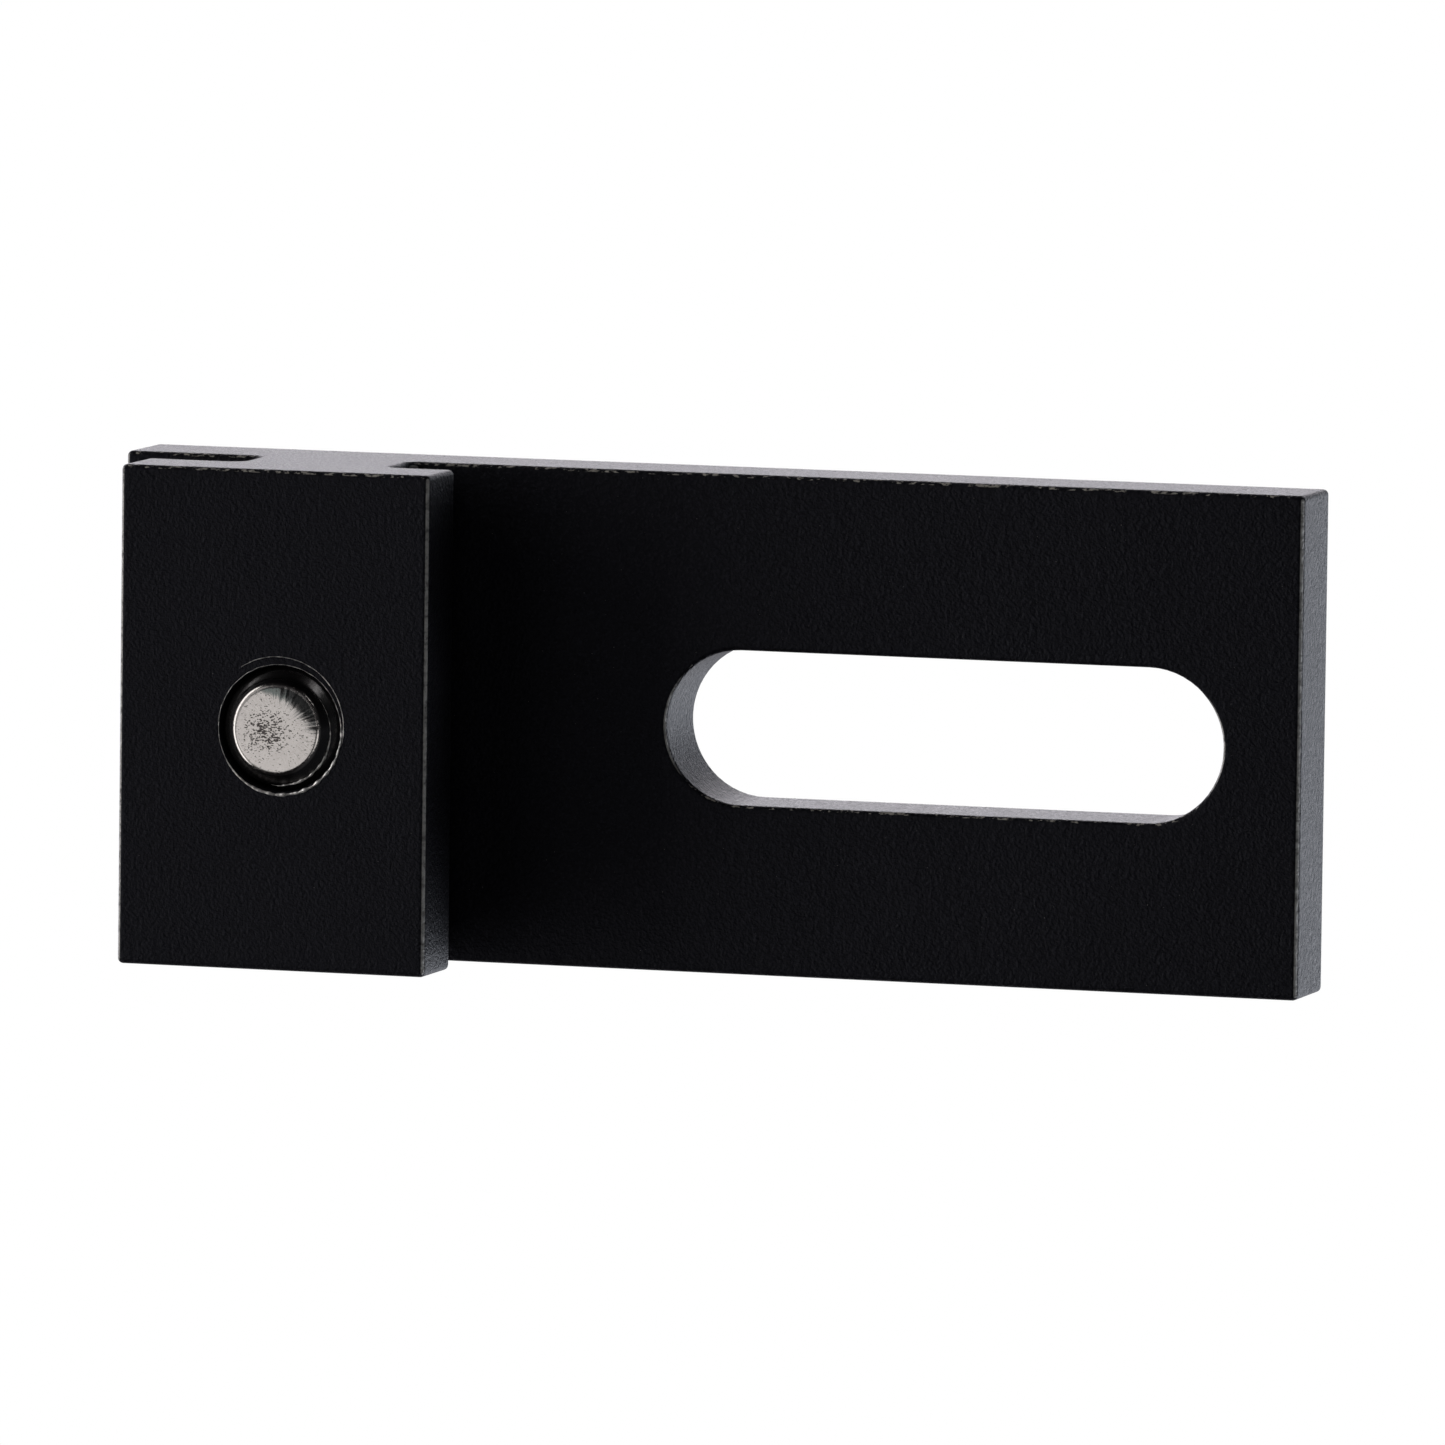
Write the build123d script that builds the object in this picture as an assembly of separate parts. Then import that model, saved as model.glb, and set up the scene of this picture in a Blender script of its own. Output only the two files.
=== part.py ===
from build123d import *
import os
from math import cos, radians, sin

# A slotted mounting bracket with a T-shaped head that slides into a rail, and the
# flat-point set screw that clamps it there. Millimetres. The bracket stands on one cut
# end, +Z up, with the origin at the middle of its footprint. X runs along the plate,
# away from the head, and Y runs from the head through to the plate's back.

# ---- Driving dimensions: the bracket ----
HEIGHT = 32.0
PLATE_LENGTH = 78.6
PLATE_THICKNESS = 6.0
GROOVE_WIDTH = 4.6  # between plate and head, where the rail's lips go
HEAD_THICKNESS = 5.25
HEAD_WIDTH = 20.7
HEAD_INSET = 3.1  # from the plate's end to the head's side
WEB_THICKNESS = 9.9
WEB_INSET = 9.35  # from the plate's end to the web
ROOT_RADIUS = 1.0  # in the four inside corners beside the web
CORNER_RADIUS = 0.4  # on the long edges of the profile
END_RADIUS = 0.35  # on the edges of the two cut ends

SLOT_LENGTH = 36.9
SLOT_WIDTH = 9.9
SLOT_INSET = 36.6  # from the plate's end to the slot
SLOT_HEIGHT = 15.8
SLOT_EDGE_RADIUS = 0.3

# ---- Driving dimensions: the M8 x 16 set screw and its hole ----
THREAD_DIAMETER = 8.0
SCREW_LENGTH = 16.0
POINT_DIAMETER = 5.5  # the flat face that presses on the rail
POINT_EDGE = 0.1
SOCKET_END_CHAMFER = 0.7
SOCKET_FLATS = 4.0
SOCKET_DEPTH = 5.0
SOCKET_MOUTH_DIAMETER = 5.2  # across the cone that opens the socket
DRILL_POINT_SLOPE = 0.577  # depth over radius of a 120 degree drill point
POINT_PROUD = 0.65  # of the head's front face, as set at rest
HOLE_INSET = 13.95  # from the plate's end to the hole's axis
HOLE_HEIGHT = 15.5
THREAD_CLEARANCE = 0.05  # radial, between screw and hole
HOLE_CHAMFER = 0.1
SPOT_RADIUS = 4.45  # a shallow cut at the hole's mouth, by a tool that leaned to one side
SPOT_SHIFT = 0.15  # of its centre from the hole's axis, both up and towards the plate's end
SPOT_DIRECTION = 35.0  # degrees from straight up, towards the slot: the side where it is deepest
SPOT_START = 1.5  # from the hole's axis to where its floor leaves the front face
SPOT_SLOPE = 0.05  # depth over distance, along that direction

TOLERANCE = 0.01  # for picking out vertices and edges by their place

# ---- Derived places ----
DEPTH = PLATE_THICKNESS + GROOVE_WIDTH + HEAD_THICKNESS + POINT_PROUD
PLATE_END_X = -PLATE_LENGTH / 2
BACK_Y = DEPTH / 2
PLATE_FRONT_Y = BACK_Y - PLATE_THICKNESS
HEAD_BACK_Y = PLATE_FRONT_Y - GROOVE_WIDTH
HEAD_FRONT_Y = HEAD_BACK_Y - HEAD_THICKNESS
POINT_Y = HEAD_FRONT_Y - POINT_PROUD
HEAD_X = PLATE_END_X + HEAD_INSET
WEB_X = PLATE_END_X + WEB_INSET
HOLE_X = PLATE_END_X + HOLE_INSET
SLOT_MIDDLE_X = PLATE_END_X + SLOT_INSET + SLOT_LENGTH / 2
THREAD_RADIUS = THREAD_DIAMETER / 2
POINT_RADIUS = POINT_DIAMETER / 2
HOLE_RADIUS = THREAD_RADIUS + THREAD_CLEARANCE


def rectangle(x_low, y_low, x_size, y_size):
    """A rectangle in the XY plane from its low corner and its size."""
    return Pos(x_low, y_low) * Rectangle(x_size, y_size, align=(Align.MIN, Align.MIN))


def along_y(x, y, z, direction=1):
    """A plane at a point whose normal runs along +Y, or along -Y where direction is -1."""
    return Plane(origin=(x, y, z), x_dir=(1, 0, 0), z_dir=(0, direction, 0))


def near(value, targets):
    return min(abs(value - target) for target in targets) < TOLERANCE


def bracket_profile():
    """The section through plate, web and head, with every corner rounded."""
    plate = rectangle(PLATE_END_X, PLATE_FRONT_Y, PLATE_LENGTH, PLATE_THICKNESS)
    web = rectangle(WEB_X, HEAD_BACK_Y, WEB_THICKNESS, GROOVE_WIDTH)
    head = rectangle(HEAD_X, HEAD_FRONT_Y, HEAD_WIDTH, HEAD_THICKNESS)
    profile = plate + web + head
    web_sides = (WEB_X, WEB_X + WEB_THICKNESS)
    profile = fillet([v for v in profile.vertices() if near(v.X, web_sides)], ROOT_RADIUS)
    outer_sides = (PLATE_END_X, -PLATE_END_X, HEAD_X, HEAD_X + HEAD_WIDTH)
    return fillet([v for v in profile.vertices() if near(v.X, outer_sides)], CORNER_RADIUS)


def countersink(face, radius):
    """A 45 degree cone to cut away: radius on the face, narrowing along the face's normal."""
    return face * Cone(radius, 0, radius, align=(Align.CENTER, Align.CENTER, Align.MIN))


def leaning_spot():
    """The cutter for the shallow spot, whose floor slopes in from the head's front face."""
    toward_x = sin(radians(SPOT_DIRECTION))
    toward_z = cos(radians(SPOT_DIRECTION))
    reach = SPOT_SHIFT * (toward_z - toward_x)
    centre = (
        HOLE_X - SPOT_SHIFT,
        HEAD_FRONT_Y + SPOT_SLOPE * (reach - SPOT_START),
        HOLE_HEIGHT + SPOT_SHIFT,
    )
    floor = Plane(origin=centre, z_dir=(SPOT_SLOPE * toward_x, -1, SPOT_SLOPE * toward_z))
    return extrude(floor * Circle(SPOT_RADIUS), HEAD_THICKNESS)


def slot_edges(body):
    """The slot's edges on the plate's two faces."""
    in_slot = [
        edge
        for edge in body.edges()
        if abs(edge.center().X - SLOT_MIDDLE_X) <= SLOT_LENGTH / 2
        and abs(edge.center().Z - SLOT_HEIGHT) <= SLOT_WIDTH / 2 + TOLERANCE
    ]
    return [edge for edge in in_slot if near(edge.center().Y, (PLATE_FRONT_Y, BACK_Y))]


def bracket():
    body = extrude(bracket_profile(), HEIGHT)
    body = fillet([edge for edge in body.edges() if near(edge.center().Z, (0, HEIGHT))], END_RADIUS)

    slot_plane = along_y(SLOT_MIDDLE_X, PLATE_FRONT_Y, SLOT_HEIGHT)
    body -= extrude(slot_plane * SlotOverall(SLOT_LENGTH, SLOT_WIDTH), PLATE_THICKNESS)
    body = fillet(slot_edges(body), SLOT_EDGE_RADIUS)

    front = along_y(HOLE_X, HEAD_FRONT_Y, HOLE_HEIGHT)
    back = along_y(HOLE_X, BACK_Y, HOLE_HEIGHT, direction=-1)
    body -= extrude(front * Circle(HOLE_RADIUS), BACK_Y - HEAD_FRONT_Y)
    body -= countersink(front, HOLE_RADIUS + HOLE_CHAMFER)
    body -= countersink(back, HOLE_RADIUS + HOLE_CHAMFER)
    body -= leaning_spot()
    return body


def screw_outline():
    """Half the screw's section: x is the radius and y is the distance from the point's face."""
    return Polyline(
        (0, 0),
        (POINT_RADIUS - POINT_EDGE, 0),
        (POINT_RADIUS, POINT_EDGE / 2),
        (THREAD_RADIUS, THREAD_RADIUS - POINT_RADIUS + POINT_EDGE / 2),
        (THREAD_RADIUS, SCREW_LENGTH - SOCKET_END_CHAMFER),
        (THREAD_RADIUS - SOCKET_END_CHAMFER, SCREW_LENGTH),
        (0, SCREW_LENGTH),
        close=True,
    )


def clamp_screw():
    body = revolve(make_face(screw_outline()), Axis.Y)
    upright = (Align.CENTER, Align.CENTER, Align.MIN)
    end = along_y(0, SCREW_LENGTH, 0, direction=-1)
    drill_radius = SOCKET_FLATS / 2
    drill_point = Cone(drill_radius, 0, drill_radius * DRILL_POINT_SLOPE, align=upright)
    body -= extrude(end * RegularPolygon(drill_radius, 6, major_radius=False), SOCKET_DEPTH)
    body -= end.offset(SOCKET_DEPTH) * drill_point
    body -= countersink(end, SOCKET_MOUTH_DIAMETER / 2)
    return Pos(HOLE_X, POINT_Y, HOLE_HEIGHT) * body


NODES = {
    "bracket": bracket,
    "clamp_screw": clamp_screw,
}

os.makedirs("parts", exist_ok=True)
for name, make in NODES.items():
    export_step(make(), f"parts/{name}.step")
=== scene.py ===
import math

import bmesh
import bpy
from mathutils import Matrix, Quaternion, Vector, noise


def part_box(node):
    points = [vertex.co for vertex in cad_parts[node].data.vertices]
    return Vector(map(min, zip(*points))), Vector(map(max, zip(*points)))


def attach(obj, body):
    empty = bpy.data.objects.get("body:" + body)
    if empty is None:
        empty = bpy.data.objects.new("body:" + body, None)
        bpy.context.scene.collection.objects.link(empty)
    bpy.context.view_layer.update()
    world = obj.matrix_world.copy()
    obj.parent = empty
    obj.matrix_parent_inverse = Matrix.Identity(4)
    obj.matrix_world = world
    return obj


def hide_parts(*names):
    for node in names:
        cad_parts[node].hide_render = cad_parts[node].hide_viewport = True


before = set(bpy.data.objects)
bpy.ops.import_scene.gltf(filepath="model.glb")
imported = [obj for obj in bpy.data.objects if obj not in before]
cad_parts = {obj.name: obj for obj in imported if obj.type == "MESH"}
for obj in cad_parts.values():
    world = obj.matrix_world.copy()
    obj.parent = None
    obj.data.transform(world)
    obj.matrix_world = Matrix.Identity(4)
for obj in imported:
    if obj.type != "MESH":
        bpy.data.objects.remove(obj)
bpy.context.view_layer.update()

# A slotted bracket with a T-shaped rail head, and the set screw through its head. Metres.
# The bracket is the CAD node with a finish of its own. The screw is a new mesh with its
# thread, and the hole gets the thread that the CAD model leaves out. Three fine lips of metal
# round the hole and the point are in this model only.

MM = 0.001
MERGE_DISTANCE = 0.001 * MM  # points of a mesh closer than this become one
SHARP_ANGLE = math.radians(35)  # edges of a mesh that turn more than this stay sharp

# ---- The M8 thread, its screw and its hole ----
PITCH = 1.25 * MM
CREST_SHARE = 0.125  # of the pitch: the flat along the screw's crest
ROOT_RADIUS = 3.233 * MM
FLANK_SLOPE = math.tan(math.radians(30))  # axial run over radial depth of one flank
START_ANGLE = math.radians(-32)  # how far the thread is turned when the screw is at rest
CONE_RADIUS = 2.84 * MM  # where the point's 45 degree cone would meet the plane of its face
EDGE_ROUND = 0.55 * MM  # the rounding between face and cone
POINT_CROWN = 0.03 * MM  # how far the middle of the face stands up
FLAT_RADIUS = CONE_RADIUS + POINT_CROWN - EDGE_ROUND * math.tan(math.pi / 8)
CONE_START = POINT_CROWN + EDGE_ROUND * (1 - math.cos(math.pi / 4))  # from the face
EDGE_RINGS = 5
FACE_RINGS = 40
WORN_DIRECTION = math.radians(47)  # the side of the face that is worn down in a slope, and painted with a dark reflection
WORN_START = 1.85 * MM  # from the axis, along that direction
WORN_WANDER = 0.45 * MM  # how far the start varies from streak to streak
WORN_SLOPE = 0.055
WORN_STREAKS = 14  # how fine those streaks are
SOCKET_END_CHAMFER = 0.7 * MM
SOCKET_RADIUS = 2.0 * MM  # to the flats
SOCKET_DEPTH = 5.0 * MM
SOCKET_MOUTH_RADIUS = 2.6 * MM
DRILL_POINT_SLOPE = 0.577
COLUMNS = 192  # round the screw, a multiple of 12 so that the socket has sharp corners
COLUMN_ANGLES = [2 * math.pi * column / COLUMNS for column in range(COLUMNS)]
ROWS_PER_TURN = 16

RIDGE_TIP_RADIUS = 3.4 * MM
RIDGE_TIP_SHARE = 0.25  # of the pitch: the flat along the ridge's tip
RIDGE_OUTER_RADIUS = 4.08 * MM  # inside the metal round the hole
RIDGE_STEPS_PER_TURN = 96
RIDGE_FIRST = 1.6 * MM  # from the hole's mouth, clear of the screw's first turn
RIDGE_LAST = 0.15 * MM  # from the plate's back

# ---- Fine lips of metal, round the hole's mouth and where the thread starts ----
RIM_RADIUS = 4.11 * MM
SPOT_RADIUS = 4.45 * MM  # of the shallow spot that a leaning tool cut beside the hole
SPOT_SHIFT = 0.15 * MM  # of its centre from the hole's axis, both up and towards -X
SPOT_FIRST = math.radians(-36)  # where its edge starts and ends, from the top towards +X
SPOT_LAST = math.radians(104)
EDGE_FIRST = math.radians(50)  # where the thread's sharp start can be seen on the point's cone
EDGE_LAST = math.radians(190)
RIM_LIP = 0.22 * MM
SPOT_LIP = 0.13 * MM
THREAD_LIP = 0.17 * MM
LIP_HEAVY = math.radians(160)  # the side where the lips are thickest
LIP_STEPS = 360
LIP_CORNERS = 8
LIP_LUMPS = 9  # how fine the lumps along a lip are
LIP_RAGGED = 0.8  # how much those lumps change its thickness
LIP_FINE = 0.5  # how much lumps half as long change it
WANDER = 0.03 * MM  # how far a lip strays from its line
WANDER_LENGTH = 0.6  # how fine the wander is, as a share of LIP_LUMPS
WANDER_PLACE = Vector((5, 0, 0))  # in the noise, away from where the lumps are read

# ---- The finish of the bracket, in millimetres ----
GRAIN = 0.20  # across: what the blasting left
LUMPS = 0.40
WEAR_AND_GLINT_FROM = 5.0  # from the hole's axis to the nearest edge wear and painted edge highlight
WEAR_AND_GLINT_FULL = 6.0  # and to where both are as strong as anywhere
SPECULAR = 0.122  # low, for a dull black
SPECULAR_TINT = (0.86, 0.86, 1.0, 1.0)
DUST_COLOUR = (0.20, 0.19, 0.18, 1.0)
THIN_AND_HIGHLIT_COLOUR = (0.50, 0.485, 0.46, 1.0)  # of edges where the black is thin, and of a painted highlight line along them
FLECK_AND_GLINT_COLOUR = (0.46, 0.43, 0.38, 1.0)  # of flecks where it is worn through, partly painted glints

# ---- The finish of the screw, in millimetres from its axis ----
MARKS_ROUND = 9.0  # how fine the outward marks are
STREAKS_ROUND = 13.0  # how fine the streaks are at the edges of the painted reflections on the face
GREY_REFLECTION_DIRECTION = math.radians(17)  # the side of the face with a painted grey reflection in a band along its edge
PITS_CENTRE = (-0.62, 0.0, -0.18)
BRIGHT_DEPTH = 0.11  # behind the face, where the edge's rounding turns from bright to dark
CLEAN_STEEL = ((0.40, 0.372, 0.355, 1.0), (0.49, 0.46, 0.44, 1.0))  # from patch to patch
# a painted grey reflection in a band along the top of the point's face
PAINTED_GREY_REFLECTION = (0.13, 0.145, 0.138, 1.0)
# a painted dark reflection on the worn, sloping side of the point's face
PAINTED_DARK_REFLECTION = (0.10, 0.10, 0.10, 1.0)
DARK_STEEL = (0.12, 0.115, 0.115, 1.0)  # of the thread and the socket end
PIT_COLOUR = (0.06, 0.052, 0.05, 1.0)
LIP_COLOURS = ((0.35, 0.34, 0.33, 1.0), (0.92, 0.89, 0.86, 1.0))  # from patch to patch

# ---- The camera ----
AZIMUTH = math.radians(17.472)
ELEVATION = math.radians(5.600)
ROLL = math.radians(0.715)
DISTANCE = 1152.92 * MM
LENS = 451.09
SENSOR = 36.0
TARGET_SHIFT = Vector((1.086, 1.925, 0.112)) * MM  # from the middle of the bracket's box

# ---- The stage, the lights and what surrounds them ----
STAGE_RADIUS = 8.0
STAGE_STEPS = 48
STAGE_RINGS = 12
FLOOR_Z = -0.02 * MM  # just clear of the bracket's lower end
LIGHT_DISTANCE = 0.9
WORLD_COLOURS = ((0.97, 0.94, 1.0, 1.0), (0.87, 0.92, 1.0, 1.0))  # on the left and the right

# ---- Places read from the frame ----
bracket_low, bracket_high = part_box("bracket")
screw_low, screw_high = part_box("clamp_screw")
SCREW_X = (screw_low.x + screw_high.x) / 2
SCREW_Z = (screw_low.z + screw_high.z) / 2
SCREW_RADIUS = (screw_high.x - screw_low.x) / 2
SCREW_LENGTH = screw_high.y - screw_low.y
POINT_Y = screw_low.y
HEAD_FRONT = bracket_low.y - POINT_Y  # distances along the screw, from its point's face
PLATE_BACK = bracket_high.y - POINT_Y


def round_screw(radius, angle, along):
    """A point by its distance from the screw's axis, its angle and its distance from the point.

    The angle is 0 at the top and grows towards +X, which is right-handed along +Y.
    """
    return (
        SCREW_X + radius * math.sin(angle),
        POINT_Y + along,
        SCREW_Z + radius * math.cos(angle),
    )


def mesh_object(name, points, faces):
    """A smooth mesh object with doubles merged, normals outward and its sharp edges marked."""
    data = bpy.data.meshes.new(name)
    data.from_pydata(points, [], faces)
    made = bpy.data.objects.new(name, data)
    bpy.context.scene.collection.objects.link(made)
    shape = bmesh.new()
    shape.from_mesh(data)
    bmesh.ops.remove_doubles(shape, verts=shape.verts, dist=MERGE_DISTANCE)
    bmesh.ops.dissolve_degenerate(shape, edges=shape.edges, dist=MERGE_DISTANCE)
    bmesh.ops.recalc_face_normals(shape, faces=shape.faces)
    for face in shape.faces:
        face.smooth = True
    for edge in shape.edges:
        if edge.is_manifold and edge.calc_face_angle(0) > SHARP_ANGLE:
            edge.smooth = False
    shape.to_mesh(data)
    shape.free()
    return made


def grid_faces(rows, columns):
    """Quads between neighbouring rows of points, each row closed into a ring."""
    return [
        (
            row * columns + column,
            row * columns + (column + 1) % columns,
            (row + 1) * columns + (column + 1) % columns,
            (row + 1) * columns + column,
        )
        for row in range(rows - 1)
        for column in range(columns)
    ]


# ---- Screw ----
def thread_radius(turns):
    """The thread's radius at a number of turns along it, counted from the middle of a crest."""
    from_crest = abs(turns - round(turns)) * PITCH
    fall = (from_crest - CREST_SHARE * PITCH / 2) / FLANK_SLOPE
    return max(ROOT_RADIUS, min(SCREW_RADIUS, SCREW_RADIUS - fall))


def threaded_side():
    """The side from the point's edge to the socket end, on rows that follow the thread."""
    turns = math.ceil(SCREW_LENGTH / PITCH) + 2
    rows = turns * ROWS_PER_TURN
    points = []
    for row in range(rows):
        thread = row / ROWS_PER_TURN - 1
        for angle in COLUMN_ANGLES:
            lead = (angle + START_ANGLE) / (2 * math.pi)
            along = min(max((thread + lead) * PITCH, CONE_START), SCREW_LENGTH)
            point_cone = CONE_RADIUS + along
            end_cone = SCREW_RADIUS - SOCKET_END_CHAMFER + SCREW_LENGTH - along
            radius = min(thread_radius(along / PITCH - lead), point_cone, end_cone)
            points.append(round_screw(radius, angle, along))
    faces = []
    for row in range(rows - 1 - ROWS_PER_TURN):
        for column in range(COLUMNS):
            here = row * COLUMNS + column
            wrapped = column == COLUMNS - 1
            beside = (row + ROWS_PER_TURN) * COLUMNS if wrapped else here + 1
            faces.append((here, beside, beside + COLUMNS, here + COLUMNS))
    return points, faces


def socket_radius(angle):
    """The hexagon's distance from the axis, with a corner at +X."""
    sixth = math.pi / 3
    from_flat = (angle + sixth / 2) % sixth - sixth / 2
    return SOCKET_RADIUS / math.cos(from_flat)


def ring(radius, along):
    return [round_screw(radius, angle, along) for angle in COLUMN_ANGLES]


def face_depth(radius, angle):
    """How far a place on the point's face lies behind its middle: the crown, and the worn side,
    whose start varies in streaks that run outward."""
    streak = noise.noise(Vector((math.sin(angle), math.cos(angle), 0)) * WORN_STREAKS)
    past = radius * math.cos(angle - WORN_DIRECTION) - WORN_START - WORN_WANDER * streak
    return POINT_CROWN * (radius / FLAT_RADIUS) ** 2 + WORN_SLOPE * max(past, 0.0)


def point_face():
    """Rings from the cone's start over the rounded edge and in to the middle of the face."""
    edge_turns = [math.pi / 4 * step / EDGE_RINGS for step in range(EDGE_RINGS, 0, -1)]
    outline = [
        (FLAT_RADIUS + EDGE_ROUND * math.sin(turn), POINT_CROWN + EDGE_ROUND * (1 - math.cos(turn)))
        for turn in edge_turns
    ]
    outline += [(FLAT_RADIUS * level / FACE_RINGS, 0.0) for level in range(FACE_RINGS, -1, -1)]
    points = [
        round_screw(radius, angle, max(along, face_depth(radius, angle)))
        for radius, along in outline
        for angle in COLUMN_ANGLES
    ]
    return points, grid_faces(len(outline), COLUMNS)


def socket():
    """The socket end's flat, the cone into the hexagon, its walls and its drill point."""
    hexagon = [(socket_radius(angle), angle) for angle in COLUMN_ANGLES]
    floor = SCREW_LENGTH - SOCKET_DEPTH
    tip = floor - SOCKET_RADIUS * DRILL_POINT_SLOPE
    mouth = [
        round_screw(radius, angle, SCREW_LENGTH - SOCKET_MOUTH_RADIUS + radius)
        for radius, angle in hexagon
    ]
    walls = [round_screw(radius, angle, floor) for radius, angle in hexagon]
    rings = [
        ring(SCREW_RADIUS - SOCKET_END_CHAMFER, SCREW_LENGTH),
        ring(SOCKET_MOUTH_RADIUS, SCREW_LENGTH),
        mouth,
        walls,
        ring(SOCKET_RADIUS, floor),
        ring(0.0, tip),
    ]
    return [point for each in rings for point in each], grid_faces(len(rings), COLUMNS)


def make_screw():
    points, faces = [], []
    for part_points, part_faces in (threaded_side(), point_face(), socket()):
        first = len(points)
        points += part_points
        faces += [tuple(first + corner for corner in face) for face in part_faces]
    return mesh_object("set_screw", points, faces)


# ---- Thread in the hole ----
def make_hole_thread():
    """A ridge that winds through the hole between the screw's crests, fading in and out."""
    outer = RIDGE_OUTER_RADIUS
    height = outer - RIDGE_TIP_RADIUS
    tip = RIDGE_TIP_SHARE * PITCH / 2
    foot = tip + height * FLANK_SLOPE
    steps = math.floor((PLATE_BACK - HEAD_FRONT) / PITCH * RIDGE_STEPS_PER_TURN)
    points = []
    for step in range(steps + 1):
        turns = step / RIDGE_STEPS_PER_TURN
        along = HEAD_FRONT + turns * PITCH
        angle = (along / PITCH - 0.5) * 2 * math.pi - START_ANGLE
        room = min(along - HEAD_FRONT - RIDGE_FIRST, PLATE_BACK - along - RIDGE_LAST)
        grown = min(max(room / foot, 0.0), 1.0)
        crest = outer - height * grown
        section = ((-foot, outer), (-tip, crest), (tip, crest), (foot, outer))
        points += [round_screw(radius, angle, along + across * grown) for across, radius in section]
    return mesh_object("hole_thread", points, grid_faces(steps + 1, len(section)))


# ---- Fine lips of metal ----
def thread_start(angle):
    """Where the thread's first crest ends on the point's cone: the radius and the place along."""
    lead = (angle + START_ANGLE) / (2 * math.pi)
    crest_end = (lead + CREST_SHARE / 2) * PITCH
    along = (SCREW_RADIUS - CONE_RADIUS + crest_end / FLANK_SLOPE) / (1 + 1 / FLANK_SLOPE)
    return CONE_RADIUS + along, along


def heavy_side(angle):
    """The share of a lip's full thickness at an angle, before its thin side is filled in."""
    return max(0.0, math.cos(angle - LIP_HEAVY))


def rim_line(angle):
    """Round the hole's mouth, further out where the lip is thick, so that the screw clears it."""
    return RIM_RADIUS + RIM_LIP / 2 * heavy_side(angle), HEAD_FRONT


def spot_line(angle):
    """Along the edge of the shallow spot, which is the same distance out at every angle."""
    return SPOT_RADIUS, HEAD_FRONT


def lip(name, line, thickness, thinnest, first=0.0, last=2 * math.pi, fades=0.0, shift=0.0):
    """A thin uneven lip of metal round the screw's axis, thickest at the lower right.

    line gives its radius and its place along the screw at an angle. thinnest is the share of its
    thickness left on its thin side, fades the share of its length over which it thins out at
    either end, and shift how far its centre lies up and towards -X from the screw's axis.
    """
    points = []
    for step in range(LIP_STEPS + 1):
        angle = first + (last - first) * step / LIP_STEPS
        radius, along = line(angle)
        place = Vector((math.sin(angle), math.cos(angle), 0)) * LIP_LUMPS
        from_end = min(step, LIP_STEPS - step) / LIP_STEPS
        fade = min(1.0, from_end / fades) if fades else 1.0
        heavy = max(thinnest, heavy_side(angle))
        ragged = 1 + LIP_RAGGED * noise.noise(place) + LIP_FINE * noise.noise(place * 2)
        half = thickness / 2 * fade * heavy * ragged
        wander = WANDER * noise.noise(place * WANDER_LENGTH + WANDER_PLACE)
        for corner in range(LIP_CORNERS):
            turn = 2 * math.pi * corner / LIP_CORNERS
            across = radius + wander + half * math.cos(turn)
            x, y, z = round_screw(across, angle, along + half * math.sin(turn))
            points.append((x - shift, y, z + shift))
    return mesh_object(name, points, grid_faces(LIP_STEPS + 1, LIP_CORNERS))


# ---- Materials ----
class Nodes:
    """A tree of nodes. A value given to a socket is a number, a colour or another socket."""

    def __init__(self, tree):
        self.tree = tree

    def set(self, node, values):
        for name, value in values.items():
            socket = node.inputs[name]
            if isinstance(value, bpy.types.NodeSocket):
                self.tree.links.new(value, socket)
            else:
                socket.default_value = value

    def add(self, kind, settings=None, output=0, **values):
        node = self.tree.nodes.new(kind)
        for name, value in (settings or {}).items():
            setattr(node, name, value)
        self.set(node, values)
        return node.outputs[output]

    def math(self, operation, *values):
        node = self.tree.nodes.new("ShaderNodeMath")
        node.operation = operation
        self.set(node, dict(enumerate(values)))
        return node.outputs[0]

    def vector(self, operation, *values, output="Vector"):
        node = self.tree.nodes.new("ShaderNodeVectorMath")
        node.operation = operation
        self.set(node, dict(enumerate(values)))
        return node.outputs[output]

    def split(self, vector, axis):
        return self.add("ShaderNodeSeparateXYZ", output=axis, Vector=vector)

    def between(self, value, low, high, to_low=0.0, to_high=1.0):
        """value mapped from low..high to to_low..to_high, smoothly, and held at both ends."""
        node = self.tree.nodes.new("ShaderNodeMapRange")
        node.interpolation_type = "SMOOTHSTEP"
        self.set(node, {"Value": value, "From Min": low, "From Max": high})
        self.set(node, {"To Min": to_low, "To Max": to_high})
        return node.outputs[0]

    def mix(self, share, colour_a, colour_b):
        """colour_a where share is 0 and colour_b where it is 1."""
        node = self.tree.nodes.new("ShaderNodeMix")
        node.data_type = "RGBA"
        self.set(node, {0: share, 6: colour_a, 7: colour_b})
        return node.outputs[2]


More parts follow.
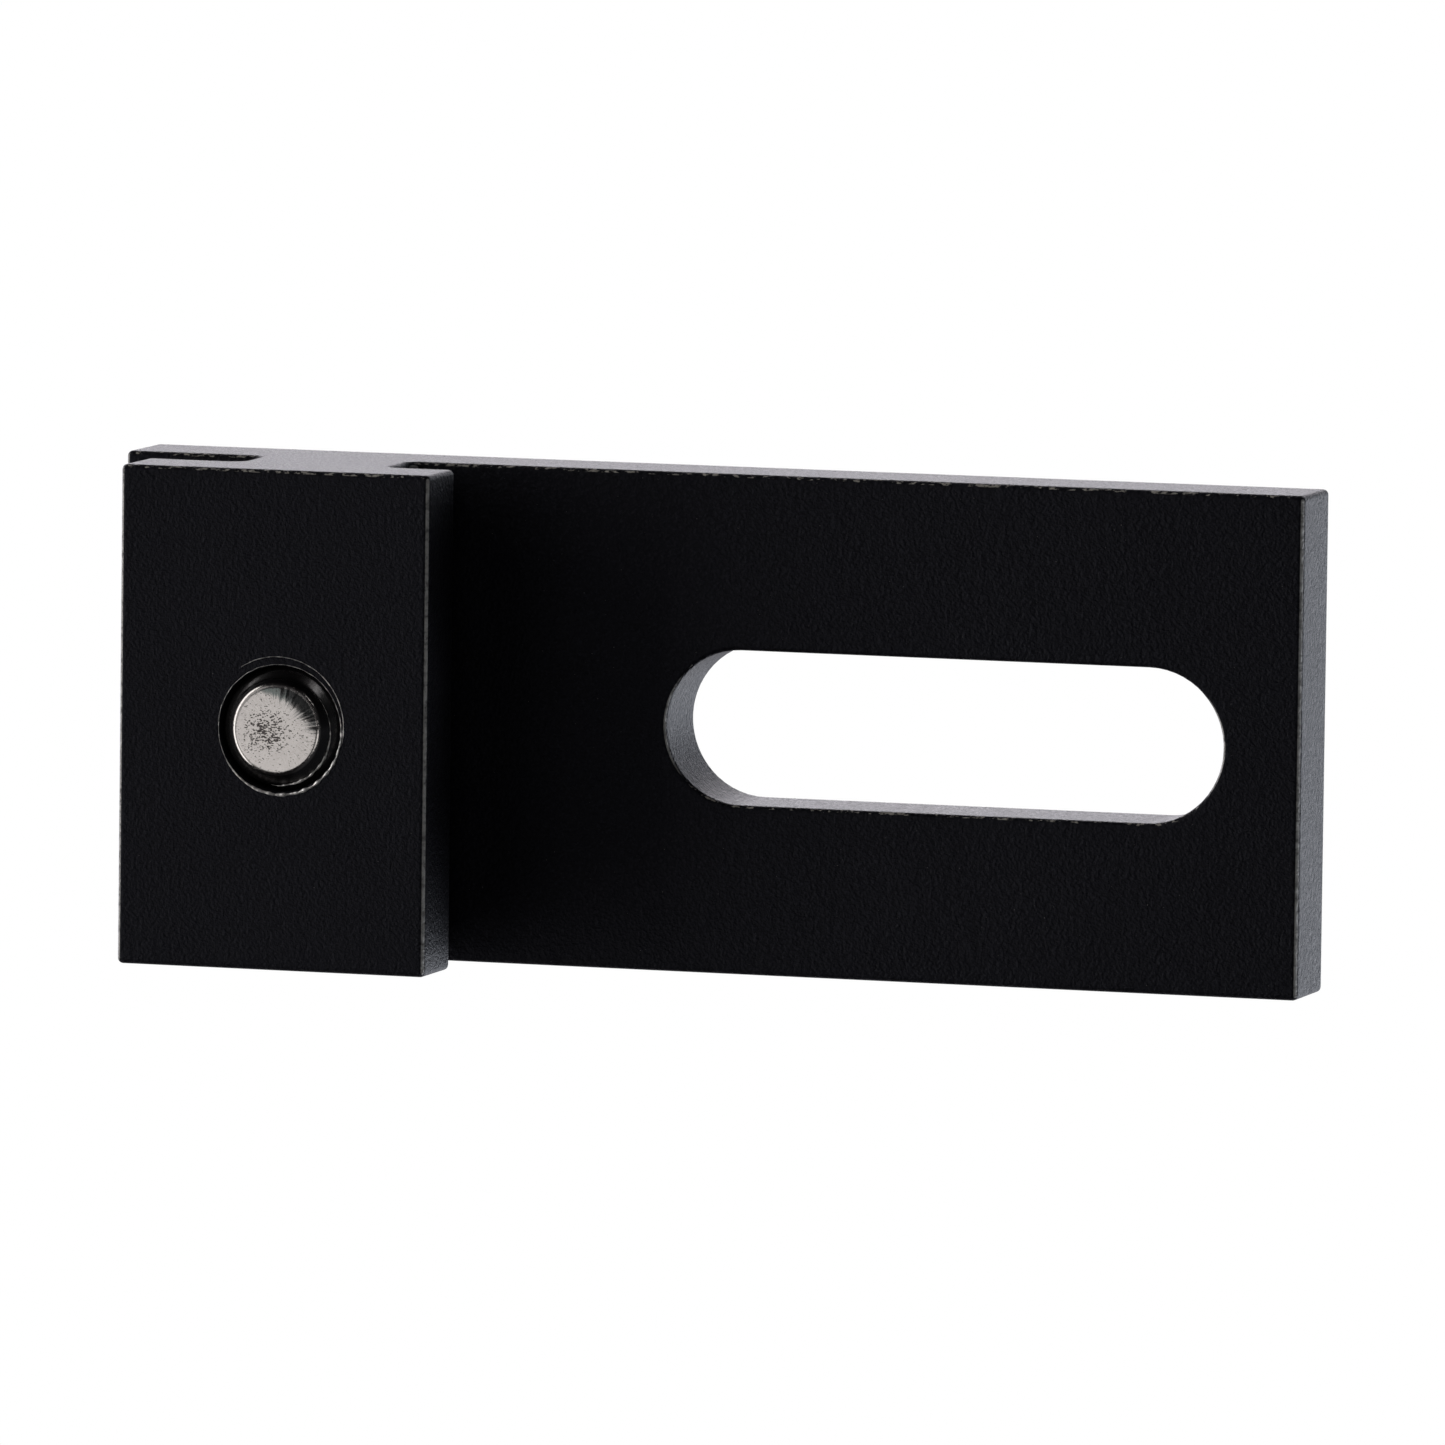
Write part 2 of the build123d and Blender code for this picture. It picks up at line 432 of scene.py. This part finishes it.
class Finish(Nodes):
    """A material's nodes, with values for the sockets of its shader."""

    def __init__(self, name, **values):
        self.material = bpy.data.materials.new(name)
        self.material.use_nodes = True
        super().__init__(self.material.node_tree)
        self.shader = self.tree.nodes["Principled BSDF"]
        self.set(self.shader, values)

    def place(self):
        """Object coordinates in millimetres."""
        where = self.add("ShaderNodeTexCoord", output="Object")
        scale = {"operation": "SCALE"}
        return self.add("ShaderNodeVectorMath", scale, Vector=where, Scale=1 / MM)

    def noise(self, where, size, detail=3.0, roughness=0.6):
        """Noise from 0 to 1 whose lumps are about size millimetres across."""
        return self.add(
            "ShaderNodeTexNoise", Vector=where, Scale=1 / size, Detail=detail, Roughness=roughness
        )

    def bump(self, height, distance):
        """Normals of a surface that a height of 1 raises by a distance in millimetres."""
        return self.add("ShaderNodeBump", Height=height, Distance=distance * MM, Strength=1.0)


def grey(value, blue=1.0):
    return (value, value, value * blue, 1.0)


def from_axis(finish, where):
    """Vectors straight out from the screw's axis: in millimetres, and of length 1."""
    centre = tuple(value / MM for value in (SCREW_X, POINT_Y, SCREW_Z))
    offset = finish.vector("SUBTRACT", where, centre)
    across = finish.vector("MULTIPLY", offset, (1, 0, 1))
    return across, finish.vector("NORMALIZE", across)


def worn_and_highlit_edges(finish, where, lumps, colour):
    """Wear and painted highlights on the edges towards -Y, away from the hole: flecks along the
    top, partly worn through and partly painted glints, and a lighter line where the edges run up
    the profile, partly thin black and partly a painted highlight. Returns the colour with both."""
    normal = finish.add("ShaderNodeTexCoord", output="Normal")
    forward = finish.math("MULTIPLY", finish.split(normal, "Y"), -1.0)
    sideways = finish.math("ABSOLUTE", finish.split(normal, "X"))
    upward = finish.math("MAXIMUM", finish.split(normal, "Z"), 0.0)
    from_hole = finish.vector("LENGTH", from_axis(finish, where)[0], output="Value")
    away = finish.between(from_hole, WEAR_AND_GLINT_FROM, WEAR_AND_GLINT_FULL)
    end_edge = finish.between(finish.math("MULTIPLY", forward, upward), 0.34, 0.46)
    long_edge = finish.between(finish.math("MULTIPLY", forward, sideways), 0.36, 0.46)

    stretched = finish.vector("MULTIPLY", where, (0.55, 1.0, 1.0))
    flecks = finish.between(finish.noise(stretched, size=0.28, detail=2.0), 0.53, 0.64)
    thin = finish.math("MULTIPLY", away, finish.between(lumps, 0.25, 0.6, 0.35, 1.0))
    thin_and_highlit = finish.math("MULTIPLY", long_edge, thin)
    flecks_and_glints = finish.math("MULTIPLY", end_edge, finish.math("MULTIPLY", away, flecks))
    finish.set(finish.shader, {"Metallic": finish.math("MULTIPLY", thin_and_highlit, 0.4)})
    # lighter upright edges are thin black and a painted highlight line; lighter top flecks are worn
    # metal and painted glints
    with_highlit_line = finish.mix(thin_and_highlit, colour, THIN_AND_HIGHLIT_COLOUR)
    return finish.mix(flecks_and_glints, with_highlit_line, FLECK_AND_GLINT_COLOUR)


def anodised(name, worn):
    """Black anodising over bead-blasted aluminium."""
    finish = Finish(name, IOR=1.5)
    where = finish.place()
    grain = finish.noise(where, GRAIN, detail=2.0, roughness=0.7)
    lumps = finish.noise(where, LUMPS, detail=2.0)
    patches = finish.noise(where, size=6.0, detail=2.0)
    dust = finish.between(finish.noise(where, size=0.11, detail=1.0), 0.80, 0.84)
    black = finish.mix(patches, grey(0.004, 1.35), grey(0.007, 1.35))
    speckled = finish.mix(finish.between(grain, 0.45, 0.75), black, grey(0.014, 1.3))
    colour = finish.mix(dust, speckled, DUST_COLOUR)
    # worn adds both the edge wear and the painted edge highlights
    if worn:
        colour = worn_and_highlit_edges(finish, where, lumps, colour)
    finish.set(
        finish.shader,
        {
            "Base Color": colour,
            "Specular Tint": SPECULAR_TINT,
            "Specular IOR Level": SPECULAR,
            "Roughness": finish.between(grain, 0.25, 0.75, 0.42, 0.58),
            "Normal": finish.bump(finish.math("ADD", grain, lumps), distance=0.075),
        },
    )
    return finish.material


def face_pits(finish, where, across, patches):
    """Small dark pits, crowded round one place off the middle of the point's face."""
    from_pits = finish.vector("SUBTRACT", across, PITS_CENTRE)
    distance = finish.vector("LENGTH", from_pits, output="Value")
    near = finish.between(distance, 0.2, 2.2, 0.19, 0.0)
    likely = finish.math("ADD", near, finish.math("MULTIPLY", patches, 0.12))
    stretched = finish.vector("MULTIPLY", where, (0.6, 1.0, 1.1))
    speckle = finish.noise(stretched, size=0.09, detail=1.0)
    return finish.between(finish.math("ADD", speckle, likely), 0.74, 0.80)


def past_streaks(finish, axes, angle, start, end, wander):
    """0 up to start and 1 from end, in millimetres from the screw's axis towards an angle. Both
    wander in and out from streak to streak, and the streaks run outward."""
    across, outward = axes
    toward = (math.sin(angle), 0, math.cos(angle))
    reach = finish.vector("DOT_PRODUCT", across, toward, output="Value")
    spokes = finish.vector("MULTIPLY", outward, (STREAKS_ROUND,) * 3)
    streaks = finish.math("MULTIPLY", finish.noise(spokes, size=1.0, detail=2.0), wander)
    return finish.between(finish.math("ADD", reach, streaks), start + wander / 2, end + wander / 2)


def face_colour_and_reflections(finish, axes, radius, patches):
    """The point's clean face, with painted reflections: a grey band along its top edge, and a dark
    side where it is worn into a slope.
    """
    flat = finish.between(radius, FLAT_RADIUS / MM + 0.1, FLAT_RADIUS / MM + 0.02)
    # the worn side, painted dark as a reflection
    worn = past_streaks(finish, axes, WORN_DIRECTION, start=1.4, end=2.4, wander=2.2)
    # a painted grey reflection in a band along the top edge
    grey_reflection = past_streaks(finish, axes, GREY_REFLECTION_DIRECTION, start=1.8, end=2.2, wander=0.8)
    clean = finish.mix(patches, *CLEAN_STEEL)
    with_grey_reflection = finish.mix(finish.math("MULTIPLY", flat, grey_reflection), clean, PAINTED_GREY_REFLECTION)
    return finish.mix(finish.math("MULTIPLY", flat, worn), with_grey_reflection, PAINTED_DARK_REFLECTION)


def face_relief(finish, axes, radius, pits):
    """The height of marks that run outward on the point's face, and of its pits."""
    across, outward = axes
    spokes = finish.vector("MULTIPLY", outward, (MARKS_ROUND,) * 3)
    along_spokes = finish.vector("MULTIPLY", across, (0.8,) * 3)
    marks = finish.noise(finish.vector("ADD", spokes, along_spokes), size=1.0)
    raised = finish.math("MULTIPLY", marks, finish.between(radius, 0.6, 2.2))
    return finish.math("SUBTRACT", raised, finish.math("MULTIPLY", pits, 0.5))


def faced_steel():
    """Steel that is bright on the face of the screw's point and dark elsewhere."""
    finish = Finish("faced_steel", Metallic=1.0)
    where = finish.place()
    axes = from_axis(finish, where)
    radius = finish.vector("LENGTH", axes[0], output="Value")
    along = finish.math("SUBTRACT", finish.split(where, "Y"), POINT_Y / MM)
    face = finish.between(along, BRIGHT_DEPTH + 0.03, BRIGHT_DEPTH)
    patches = finish.noise(where, size=0.9)
    pits = finish.math("MULTIPLY", face, face_pits(finish, where, axes[0], patches))
    # the face's colour holds painted reflections: a grey band at the top and a dark worn side
    steel = finish.mix(face, DARK_STEEL, face_colour_and_reflections(finish, axes, radius, patches))
    finish.set(
        finish.shader,
        {
            "Base Color": finish.mix(pits, steel, PIT_COLOUR),
            "Roughness": finish.between(face, 0.0, 1.0, 0.24, 0.16),
            "Normal": finish.bump(face_relief(finish, axes, radius, pits), distance=0.011),
        },
    )
    return finish.material


def bare_aluminium():
    """Fresh metal, for the thin lips where there is no anodising."""
    finish = Finish("bare_aluminium", Metallic=1.0)
    where = finish.place()
    tone = finish.noise(where, size=0.25)
    finish.set(
        finish.shader,
        {
            "Base Color": finish.mix(finish.between(tone, 0.35, 0.7), *LIP_COLOURS),
            "Roughness": finish.between(tone, 0.3, 0.7, 0.6, 0.4),
            "Normal": finish.bump(tone, distance=0.01),
        },
    )
    return finish.material


# ---- Stage, light and camera ----
def direction(azimuth, elevation):
    """Unit vector from the object to something seen at that azimuth from -Y, towards +X."""
    flat = math.cos(elevation)
    return Vector((math.sin(azimuth) * flat, -math.cos(azimuth) * flat, math.sin(elevation)))


def make_camera():
    back = direction(AZIMUTH, ELEVATION)
    level = Vector((math.cos(AZIMUTH), math.sin(AZIMUTH), 0))
    upright = back.cross(level)
    right = math.cos(ROLL) * level + math.sin(ROLL) * upright
    up = back.cross(right)
    middle = (bracket_low + bracket_high) / 2
    data = bpy.data.cameras.new("camera")
    data.lens = LENS
    data.sensor_width = SENSOR
    data.clip_start = 0.01
    data.clip_end = 50
    camera = bpy.data.objects.new("camera", data)
    turned = Matrix((right, up, back)).transposed().to_4x4()
    camera.matrix_world = Matrix.Translation(middle + TARGET_SHIFT + back * DISTANCE) @ turned
    bpy.context.scene.collection.objects.link(camera)
    bpy.context.scene.camera = camera


def stage_plain(name, points, faces, colour):
    """A plain surface that only the camera sees, so it throws no light on the object."""
    data = bpy.data.meshes.new(name)
    data.from_pydata(points, [], faces)
    made = bpy.data.objects.new(name, data)
    bpy.context.scene.collection.objects.link(made)
    finish = Finish(name + "_pale")
    finish.set(
        finish.shader,
        {
            "Base Color": grey(0.0),
            "Specular IOR Level": 0.0,
            "Emission Color": colour,
            "Emission Strength": 1.0,
        },
    )
    data.materials.append(finish.material)
    made.visible_diffuse = False
    made.visible_glossy = False
    made.visible_transmission = False
    made.visible_shadow = False


def make_stage():
    """The floor, and a dome over it that is just as pale."""
    points = []
    for level in range(STAGE_RINGS + 1):
        rise = math.pi / 2 * level / STAGE_RINGS
        flat = STAGE_RADIUS * math.cos(rise)
        height = FLOOR_Z + STAGE_RADIUS * math.sin(rise)
        for step in range(STAGE_STEPS):
            turn = 2 * math.pi * step / STAGE_STEPS
            points.append((flat * math.cos(turn), flat * math.sin(turn), height))
    stage_plain("backdrop", points, grid_faces(STAGE_RINGS + 1, STAGE_STEPS), grey(1.0))
    stage_plain("floor", points[:STAGE_STEPS], [tuple(range(STAGE_STEPS))], grey(1.0))


def soft_light(name, azimuth, elevation, width, height, radiance, roll=0.0):
    """A soft light that faces the object, hidden from the camera. Its sizes are in degrees, as
    the object sees them, and its radiance is a share of the white background's."""
    data = bpy.data.lights.new(name, "AREA")
    data.shape = "RECTANGLE"
    data.size = 2 * LIGHT_DISTANCE * math.tan(math.radians(width / 2))
    data.size_y = 2 * LIGHT_DISTANCE * math.tan(math.radians(height / 2))
    data.energy = radiance * math.pi * data.size * data.size_y
    light = bpy.data.objects.new(name, data)
    toward = direction(math.radians(azimuth), math.radians(elevation))
    middle = Vector((0, 0, (bracket_low.z + bracket_high.z) / 2))
    light.location = middle + toward * LIGHT_DISTANCE
    light.rotation_mode = "QUATERNION"
    facing = toward.to_track_quat("Z", "Y")
    light.rotation_quaternion = facing @ Quaternion((0, 0, 1), math.radians(roll))
    light.visible_camera = False
    bpy.context.scene.collection.objects.link(light)


def make_lights():
    soft_light("low_front", azimuth=-22, elevation=-10, width=20, height=18, radiance=1.13, roll=45)
    soft_light("right_front", azimuth=12, elevation=-12, width=20, height=14, radiance=1.3)
    soft_light("high_right", azimuth=30, elevation=36, width=11, height=6, radiance=4.0)
    soft_light("mid_left", azimuth=-41, elevation=0, width=26, height=56, radiance=0.5)
    soft_light("left_strip", azimuth=-63, elevation=2, width=22, height=72, radiance=2.6)


def make_world():
    """A white surround behind the object, that fades to a dark room in front and overhead. It is
    brightest above the object on the left and below it on the right, and bluer on the right."""
    world = bpy.data.worlds.new("studio")
    world.use_nodes = True
    bpy.context.scene.world = world
    nodes = Nodes(world.node_tree)
    where = nodes.add("ShaderNodeTexCoord", output="Generated")
    x, y, z = (nodes.split(where, axis) for axis in "XYZ")

    strength = nodes.between(y, 0.0, 0.7, 0.012, 1.0)
    lopsided = nodes.between(nodes.math("MULTIPLY", x, z), -0.05, 0.03, 5.8, 1.4)
    overhead = nodes.between(z, 0.2, 0.7, 1.0, 0.1)
    below = nodes.between(z, -0.3, 0.05, 0.55, 1.0)
    for share in (lopsided, overhead, below):
        strength = nodes.math("MULTIPLY", strength, share)
    colour = nodes.mix(nodes.between(x, -0.1, 0.3), *WORLD_COLOURS)
    nodes.set(nodes.tree.nodes["Background"], {"Strength": strength, "Color": colour})


# ---- The object ----
def finish_piece(piece, material):
    piece.data.materials.append(material)


# the bracket's black, with edge wear and painted edge highlights
worn_highlit_black = anodised("black_anodised", worn=True)
fresh_black = anodised("black_in_hole", worn=False)
steel = faced_steel()

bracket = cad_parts["bracket"]
for material_slot in bracket.material_slots:
    material_slot.material = worn_highlit_black

screw = make_screw()
finish_piece(screw, steel)
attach(screw, "clamp_screw")
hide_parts("clamp_screw")

hole_thread = make_hole_thread()
finish_piece(hole_thread, fresh_black)
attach(hole_thread, "bracket")

bare = bare_aluminium()
rim_lip = lip("rim_lip", rim_line, RIM_LIP, thinnest=0.12)
spot_lip = lip(
    "spot_lip",
    spot_line,
    SPOT_LIP,
    thinnest=0.3,
    first=SPOT_FIRST,
    last=SPOT_LAST,
    fades=0.08,
    shift=SPOT_SHIFT,
)
for piece in (rim_lip, spot_lip):
    finish_piece(piece, bare)
    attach(piece, "bracket")

thread_lip = lip(
    "thread_lip",
    thread_start,
    THREAD_LIP,
    thinnest=0.2,
    first=EDGE_FIRST,
    last=EDGE_LAST,
    fades=0.2,
)
finish_piece(thread_lip, bare)
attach(thread_lip, "clamp_screw")

make_stage()
make_world()
make_lights()
make_camera()

bpy.context.scene.view_settings.view_transform = "Standard"
